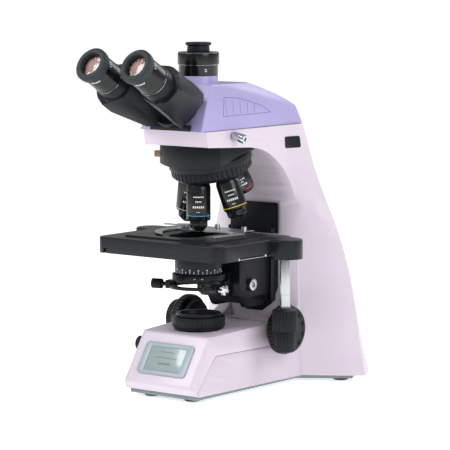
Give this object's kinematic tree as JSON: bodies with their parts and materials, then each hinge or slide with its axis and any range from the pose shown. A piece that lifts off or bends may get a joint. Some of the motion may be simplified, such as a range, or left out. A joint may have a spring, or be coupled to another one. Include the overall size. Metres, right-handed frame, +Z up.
{
  "type": "trinocular laboratory microscope",
  "caption": "Upright laboratory microscope: C-shaped arm, five-place nosepiece, moving stage, condenser, coaxial focus, swivelling head with folding eyepieces and camera tube.",
  "frame": {"origin": "on the surface the microscope stands on, under the middle of its overall box", "axes": "+Z up, -Y towards the user, +X to the user's right"},
  "size_m": [0.248, 0.3622, 0.4172],
  "materials": {
    "stand_paint": "satin",
    "head_paint": "satin",
    "steel_plate": "matte",
    "black_paint": "satin",
    "black_plastic": "matte",
    "rubber": "matte",
    "bezel_plastic": "satin",
    "lcd_glass": "gloss",
    "lens_glass": "gloss",
    "eye_glass": "gloss",
    "bright_steel": "brushed",
    "chrome": "polished",
    "aluminium": "machined",
    "dark_aluminium": "anodised",
    "board": "satin",
    "bronze": "machined"
  },
  "bodies": {
    "stand": {"stand_casting": "stand_paint", "side_covers": "stand_paint", "base_plate": "steel_plate", "base_feet": "rubber", "display_bezel": "bezel_plastic", "display_glass": "lcd_glass", "circuit_boards": "board", "arm_plaques": "black_plastic", "focus_guide": "black_paint", "illuminator_collar": "black_paint", "field_lens": "lens_glass", "lamp_module": "aluminium", "power_inlet": "black_plastic", "shaft_bushings": "bronze", "nosepiece_mount": "black_paint"},
    "switch": {"power_switch": "black_plastic"},
    "dimmer": {"brightness_knob": "black_plastic"},
    "field_stop": {"field_ring": "black_plastic"},
    "coarse_drive": {"coarse_knobs": "black_plastic"},
    "fine_drive": {"fine_knobs": "black_plastic"},
    "drag_ring": {"tension_ring": "black_plastic"},
    "carriage": {"coarse_slide": "dark_aluminium"},
    "bracket": {"stage_bracket": "black_paint", "bracket_screw": "chrome"},
    "condenser_mount": {"condenser_carrier": "black_paint", "condenser_body": "black_paint", "condenser_lenses": "lens_glass"},
    "aperture_stop": {"aperture_ring": "black_paint"},
    "condenser_drive": {"condenser_knob": "black_plastic"},
    "centring_left": {"centring_screw_left": "black_plastic"},
    "centring_right": {"centring_screw_right": "chrome"},
    "stage": {"stage_plate": "black_paint", "stage_bright_parts": "bright_steel"},
    "stage_y_drive": {"stage_y_knob": "black_plastic"},
    "stage_x_drive": {"stage_x_knob": "black_plastic"},
    "holder": {"specimen_holder": "bright_steel"},
    "finger": {"specimen_finger": "bright_steel"},
    "nosepiece": {"turret": "black_paint", "objective_4x": "black_paint", "objective_10x": "black_paint", "objective_40x": "black_paint", "objective_100x": "black_paint"},
    "plunger_40x": {"nose_40x": "black_paint"},
    "plunger_100x": {"nose_100x": "black_paint"},
    "slot_plug": {"analyser_plug": "bronze"},
    "head": {"head_shell": "head_paint", "head_dovetail": "bright_steel", "camera_port": "black_paint", "hub_and_trim": "black_plastic"},
    "lock_screw": {"head_lock_screw": "chrome"},
    "splitter": {"beam_splitter": "black_plastic"},
    "cap": {"dust_cap": "black_plastic"},
    "tube_left": {"tube_housing_left": "black_plastic"},
    "tube_right": {"tube_housing_right": "black_plastic"},
    "ocular_left": {"eyepiece_left": "black_paint", "eyecup_left": "rubber", "eye_lens_left": "eye_glass"},
    "ocular_right": {"eyepiece_right": "black_paint", "eyecup_right": "rubber", "eye_lens_right": "eye_glass"}
  },
  "joints": [
    {"name": "switch_rock", "type": "hinge", "parent": "stand", "child": "switch", "pos_m": [-0.018, 0.17746, 0.034], "axis": [0, -0.1432, 0.9897], "range_deg": [-7, 0], "stiffness_Nm_per_rad": 0.02},
    {"name": "dimmer_turn", "type": "hinge", "parent": "stand", "child": "dimmer", "pos_m": [-0.05, -0.05292, 0.058], "axis": [-1, 0, 0], "range_deg": [0, 270]},
    {"name": "field_ring_turn", "type": "hinge", "parent": "stand", "child": "field_stop", "pos_m": [0, -0.01493, 0.086], "axis": [0, 0, 1], "range_deg": [0, 80]},
    {"name": "coarse_travel", "type": "slide", "parent": "stand", "child": "carriage", "axis": [0, 0, 1], "range_m": [-0.014, 0.0003]},
    {"name": "coarse_turn", "type": "hinge", "parent": "stand", "child": "coarse_drive", "pos_m": [0, 0.05858, 0.0735], "axis": [1, 0, 0], "range_deg": [-150, 10]},
    {"name": "fine_travel", "type": "slide", "parent": "carriage", "child": "bracket", "axis": [0, 0, 1], "range_m": [-0.0008, 0.0008]},
    {"name": "fine_turn", "type": "hinge", "parent": "stand", "child": "fine_drive", "pos_m": [0, 0.05858, 0.0735], "axis": [1, 0, 0], "range_deg": [-1500, 1500]},
    {"name": "drag_ring_turn", "type": "hinge", "parent": "stand", "child": "drag_ring", "pos_m": [-0.064, 0.05858, 0.0735], "axis": [1, 0, 0], "range_deg": [-60, 60]},
    {"name": "condenser_travel", "type": "slide", "parent": "bracket", "child": "condenser_mount", "axis": [0, 0, 1], "range_m": [-0.013, 0]},
    {"name": "condenser_turn", "type": "hinge", "parent": "bracket", "child": "condenser_drive", "pos_m": [-0.04, 0.04868, 0.118], "axis": [-1, 0, 0], "range_deg": [-75, 5]},
    {"name": "aperture_turn", "type": "hinge", "parent": "condenser_mount", "child": "aperture_stop", "pos_m": [0, -0.01493, 0.14], "axis": [0, 0, 1], "range_deg": [-45, 30]},
    {"name": "centring_left_turn", "type": "hinge", "parent": "condenser_mount", "child": "centring_left", "pos_m": [-0.0396, -0.02554, 0.128], "axis": [-0.9659, -0.2588, 0], "range_deg": [-180, 180]},
    {"name": "centring_right_turn", "type": "hinge", "parent": "condenser_mount", "child": "centring_right", "pos_m": [0.0396, -0.02554, 0.128], "axis": [0.9659, -0.2588, 0], "range_deg": [-180, 180]},
    {"name": "stage_y_travel", "type": "slide", "parent": "bracket", "child": "stage", "axis": [0, 1, 0], "range_m": [-0.026, 0.026]},
    {"name": "stage_x_travel", "type": "slide", "parent": "stage", "child": "holder", "axis": [1, 0, 0], "range_m": [-0.038, 0.038]},
    {"name": "stage_y_turn", "type": "hinge", "parent": "stage", "child": "stage_y_drive", "pos_m": [0.1018, 0.02007, 0.09], "axis": [0, 0, 1], "range_deg": [-160, 160]},
    {"name": "stage_x_turn", "type": "hinge", "parent": "stage", "child": "stage_x_drive", "pos_m": [0.1018, 0.02007, 0.067], "axis": [0, 0, 1], "range_deg": [-230, 230]},
    {"name": "finger_swing", "type": "hinge", "parent": "holder", "child": "finger", "pos_m": [-0.045, 0.01158, 0.192], "axis": [0, 0, -1], "range_deg": [0, 30], "stiffness_Nm_per_rad": 0.05, "springref_deg": -5.73},
    {"name": "nosepiece_turn", "type": "hinge", "parent": "stand", "child": "nosepiece", "pos_m": [0, 0.01257, 0.2574], "axis": [0, -0.2588, 0.9659], "continuous": true},
    {"name": "plunger_40x_travel", "type": "slide", "parent": "nosepiece", "child": "plunger_40x", "axis": [0, 0, 1], "range_m": [0, 0.002], "stiffness_N_per_m": 400, "springref_m": -0.001},
    {"name": "plunger_100x_travel", "type": "slide", "parent": "nosepiece", "child": "plunger_100x", "axis": [0.2462, -0.1727, 0.9537], "range_m": [0, 0.002], "stiffness_N_per_m": 400, "springref_m": -0.001},
    {"name": "slot_plug_travel", "type": "slide", "parent": "stand", "child": "slot_plug", "axis": [-1, 0, 0], "range_m": [0, 0.02]},
    {"name": "head_turn", "type": "hinge", "parent": "stand", "child": "head", "pos_m": [0, -0.01493, 0.316], "axis": [0, 0, 1], "range_deg": [-180, 180]},
    {"name": "lock_screw_turn", "type": "hinge", "parent": "stand", "child": "lock_screw", "pos_m": [0.0484, -0.00992, 0.309], "axis": [0.9744, 0, -0.225], "range_deg": [-180, 180]},
    {"name": "splitter_travel", "type": "slide", "parent": "head", "child": "splitter", "axis": [-1, 0, 0], "range_m": [0, 0.014]},
    {"name": "cap_travel", "type": "slide", "parent": "head", "child": "cap", "axis": [0, 0, 1], "range_m": [0, 0.03]},
    {"name": "tube_right_swing", "type": "hinge", "parent": "head", "child": "tube_right", "pos_m": [0, -0.061, 0.34922], "axis": [0, -0.866, 0.5], "range_deg": [-13, 22]},
    {"name": "tube_left_swing", "type": "hinge", "parent": "head", "child": "tube_left", "pos_m": [0, -0.061, 0.34922], "axis": [0, -0.866, 0.5], "range_deg": [-22, 13]},
    {"name": "ocular_right_turn", "type": "hinge", "parent": "tube_right", "child": "ocular_right", "pos_m": [0.03285, -0.1546, 0.3871], "axis": [0, -0.866, 0.5], "range_deg": [-180, 180]},
    {"name": "ocular_left_turn", "type": "hinge", "parent": "tube_left", "child": "ocular_left", "pos_m": [-0.03285, -0.1546, 0.3871], "axis": [0, -0.866, 0.5], "range_deg": [-180, 180]}
  ],
  "couplings": [
    {"joint": "coarse_turn", "follows": "coarse_travel", "rad_per_m": 187},
    {"joint": "fine_turn", "follows": "fine_travel", "rad_per_m": 32725},
    {"joint": "condenser_turn", "follows": "condenser_travel", "rad_per_m": 100.69},
    {"joint": "stage_y_turn", "follows": "stage_y_travel", "rad_per_m": 107.4},
    {"joint": "stage_x_turn", "follows": "stage_x_travel", "rad_per_m": 105.64},
    {"joint": "tube_left_swing", "follows": "tube_right_swing", "ratio": -1}
  ]
}
